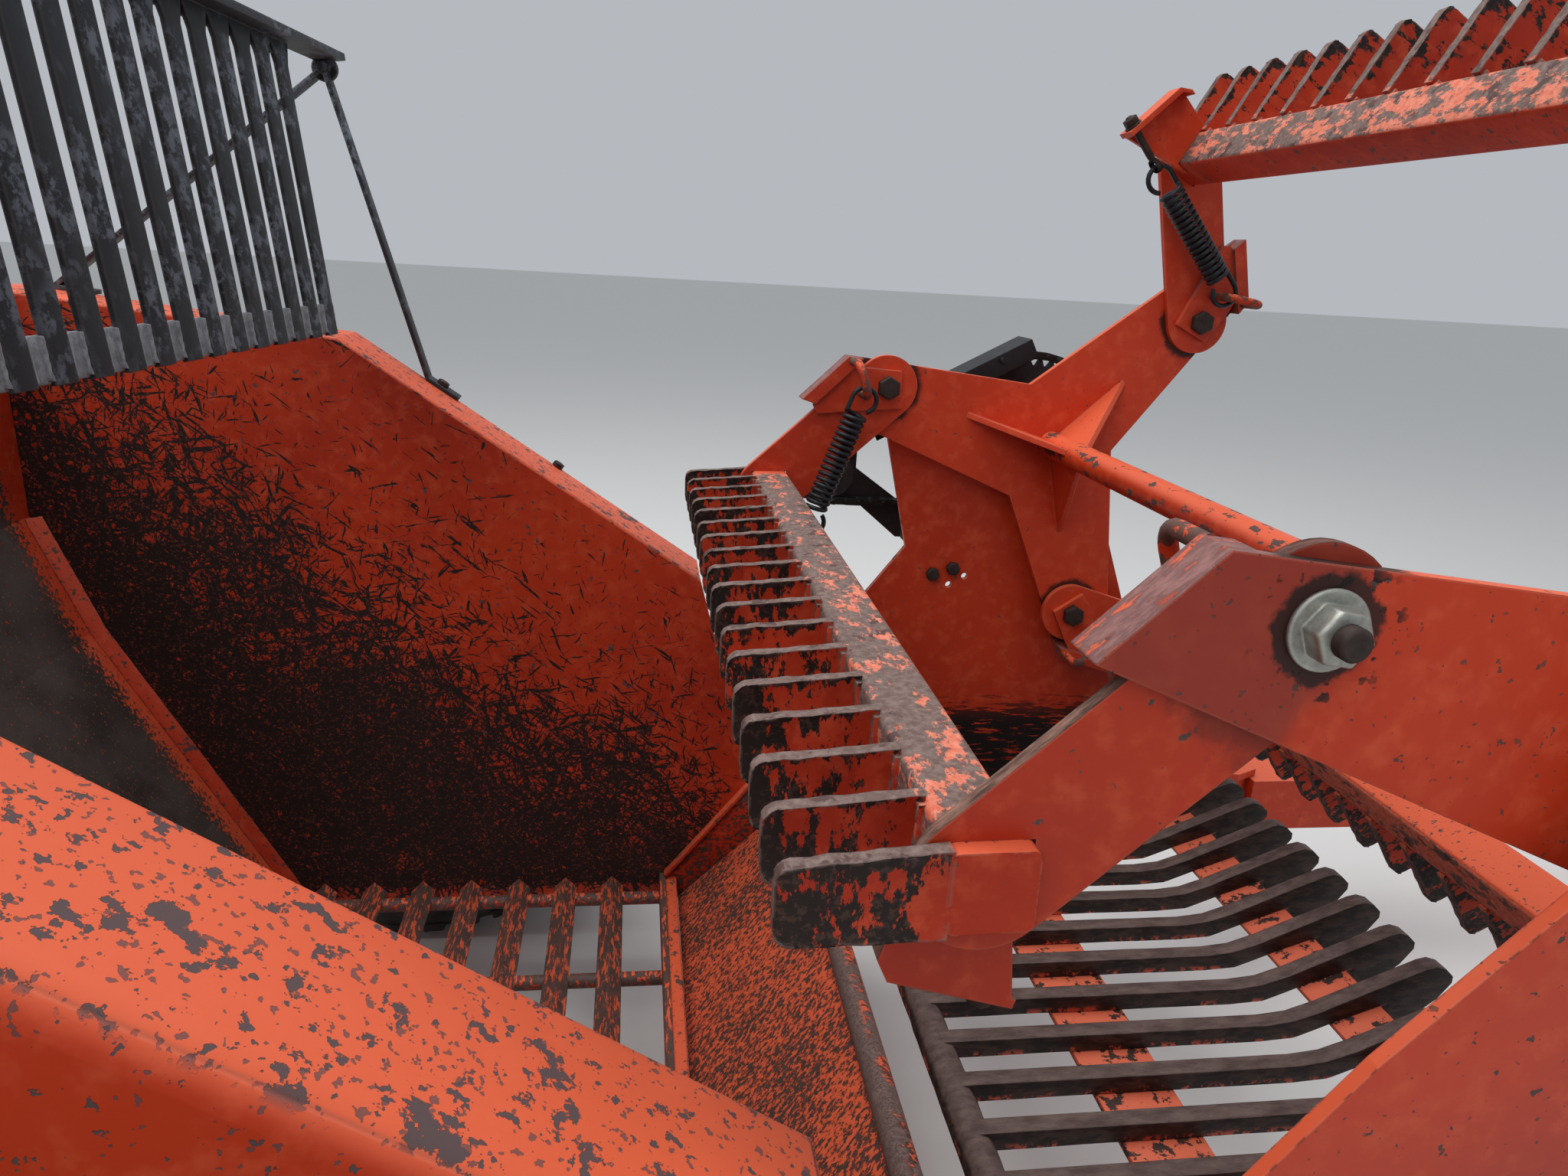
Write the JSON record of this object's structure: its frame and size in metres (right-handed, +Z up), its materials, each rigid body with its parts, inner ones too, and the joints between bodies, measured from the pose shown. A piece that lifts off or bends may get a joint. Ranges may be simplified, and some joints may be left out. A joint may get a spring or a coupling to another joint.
{
  "type": "pull-type stone picker with a bat reel",
  "caption": "Towed stone picker: a bat reel sweeps stones over a barred grate into a tipping hopper with a rear screen, on wheels with a swinging tongue and parking stand.",
  "frame": {"origin": "centre of the hitch eye at mid thickness", "axes": "+X forward along the tongue, +Y to the machine's left, +Z up along the hitch pin"},
  "size_m": [4.932, 2.5894, 1.8653],
  "materials": {
    "orange_paint": "chalky, chipped",
    "worn_bat": "paint worn to rust",
    "worn_grate": "worn steel",
    "screen_steel": "mottled black",
    "black_steel": "satin",
    "bare_steel": "dull",
    "cast_iron": "painted casting",
    "zinc_bolts": "galvanised",
    "rim_paint": "satin",
    "tyre": "matt",
    "chrome": "polished"
  },
  "bodies": {
    "frame": {"side_plate_left": "orange_paint", "side_plate_right": "orange_paint", "reel_bearing_left": "cast_iron", "reel_bearing_right": "cast_iron", "grate": "worn_grate", "transfer_lip": "orange_paint", "main_beam_left": "orange_paint", "main_beam_right": "orange_paint", "rear_cross_tube": "orange_paint", "spindle_left": "orange_paint", "spindle_right": "orange_paint", "hinge_ears": "orange_paint", "dump_brackets": "orange_paint", "drive_motor": "cast_iron", "drive_chain": "black_steel", "chain_guard": "black_steel"},
    "reel": {"spider_left": "orange_paint", "spider_right": "orange_paint", "bat_1": "worn_bat", "bat_2": "worn_bat", "bat_3": "worn_bat", "bat_arms": "orange_paint", "bat_bolts": "zinc_bolts", "bat_springs": "black_steel", "spring_rods": "black_steel", "reel_shaft": "bare_steel", "reel_sprocket": "bare_steel"},
    "hopper": {"hopper_wall_left": "orange_paint", "hopper_wall_right": "orange_paint", "hopper_rear": "orange_paint", "hopper_floor": "orange_paint", "hopper_lugs": "orange_paint", "dump_eyes": "orange_paint", "screen": "screen_steel", "screen_struts": "screen_steel"},
    "wheel_left": {"wheel_left": "rim_paint", "tyre_left": "tyre"},
    "wheel_right": {"wheel_right": "rim_paint", "tyre_right": "tyre"},
    "dump_barrel_left": {"dump_barrel_left": "black_steel"},
    "dump_rod_left": {"dump_rod_left": "chrome"},
    "dump_barrel_right": {"dump_barrel_right": "black_steel"},
    "dump_rod_right": {"dump_rod_right": "chrome"},
    "draw_arm": {"draw_arm": "orange_paint"},
    "lift_barrel": {"lift_barrel": "black_steel"},
    "lift_rod": {"lift_rod": "chrome"},
    "tongue": {"tongue": "orange_paint"},
    "swing_barrel": {"swing_barrel": "black_steel"},
    "swing_rod": {"swing_rod": "chrome"},
    "jack": {"jack": "orange_paint"}
  },
  "joints": [
    {"name": "reel_spin", "type": "hinge", "parent": "frame", "child": "reel", "pos_m": [-3, -0.748, 0.805], "axis": [0, 1, 0], "continuous": true},
    {"name": "wheel_left_spin", "type": "hinge", "parent": "frame", "child": "wheel_left", "pos_m": [-4.25, 0.332, 0.112], "axis": [0, 1, 0], "continuous": true},
    {"name": "wheel_right_spin", "type": "hinge", "parent": "frame", "child": "wheel_right", "pos_m": [-4.25, -1.828, 0.112], "axis": [0, 1, 0], "continuous": true},
    {"name": "hopper_dump", "type": "hinge", "parent": "frame", "child": "hopper", "pos_m": [-4.78, -0.748, 0.185], "axis": [0, -1, 0], "range_deg": [0, 95]},
    {"name": "dump_barrel_left_turn", "type": "hinge", "parent": "frame", "child": "dump_barrel_left", "pos_m": [-3.43, -0.013, 0.105], "axis": [0, -1, 0], "range_deg": [-13.59, 0]},
    {"name": "dump_rod_left_slide", "type": "slide", "parent": "dump_barrel_left", "child": "dump_rod_left", "axis": [-0.9906, 0, 0.1366], "range_m": [0, 0.6703]},
    {"name": "dump_barrel_right_turn", "type": "hinge", "parent": "frame", "child": "dump_barrel_right", "pos_m": [-3.43, -1.483, 0.105], "axis": [0, -1, 0], "range_deg": [-13.59, 0]},
    {"name": "dump_rod_right_slide", "type": "slide", "parent": "dump_barrel_right", "child": "dump_rod_right", "axis": [-0.9906, 0, 0.1366], "range_m": [0, 0.6703]},
    {"name": "tongue_lift", "type": "hinge", "parent": "frame", "child": "draw_arm", "pos_m": [-3.25, 0, 0.105], "axis": [0, -1, 0], "range_deg": [0, 27]},
    {"name": "lift_barrel_turn", "type": "hinge", "parent": "frame", "child": "lift_barrel", "pos_m": [-3.38, -0.013, 0.325], "axis": [0, -1, 0], "range_deg": [0, 22.45]},
    {"name": "lift_rod_slide", "type": "slide", "parent": "lift_barrel", "child": "lift_rod", "axis": [0.986, 0, -0.1667], "range_m": [-0.1064, 0]},
    {"name": "tongue_swing", "type": "hinge", "parent": "draw_arm", "child": "tongue", "pos_m": [-2.44, 0, 0], "axis": [0, 0, 1], "range_deg": [-18, 25]},
    {"name": "swing_barrel_turn", "type": "hinge", "parent": "draw_arm", "child": "swing_barrel", "pos_m": [-2.5, 0.152, 0], "axis": [0, 0, 1], "range_deg": [-16.7, 23.2]},
    {"name": "swing_rod_slide", "type": "slide", "parent": "swing_barrel", "child": "swing_rod", "axis": [0.9981, -0.0614, 0], "range_m": [-0.0663, 0.0477]},
    {"name": "jack_fold", "type": "hinge", "parent": "tongue", "child": "jack", "pos_m": [-1.1, 0.095, 0], "axis": [0, 1, 0], "range_deg": [0, 90]}
  ],
  "couplings": [
    {"joint": "dump_barrel_left_turn", "follows": "hopper_dump", "ratio": -0.14026},
    {"joint": "dump_rod_left_slide", "follows": "hopper_dump", "m_per_rad": 0.39633},
    {"joint": "dump_barrel_right_turn", "follows": "hopper_dump", "ratio": -0.14026},
    {"joint": "dump_rod_right_slide", "follows": "hopper_dump", "m_per_rad": 0.39633},
    {"joint": "lift_barrel_turn", "follows": "tongue_lift", "ratio": 0.81521},
    {"joint": "lift_rod_slide", "follows": "tongue_lift", "m_per_rad": -0.22129},
    {"joint": "swing_barrel_turn", "follows": "tongue_swing", "ratio": 0.90981},
    {"joint": "swing_rod_slide", "follows": "tongue_swing", "m_per_rad": -0.14895}
  ]
}
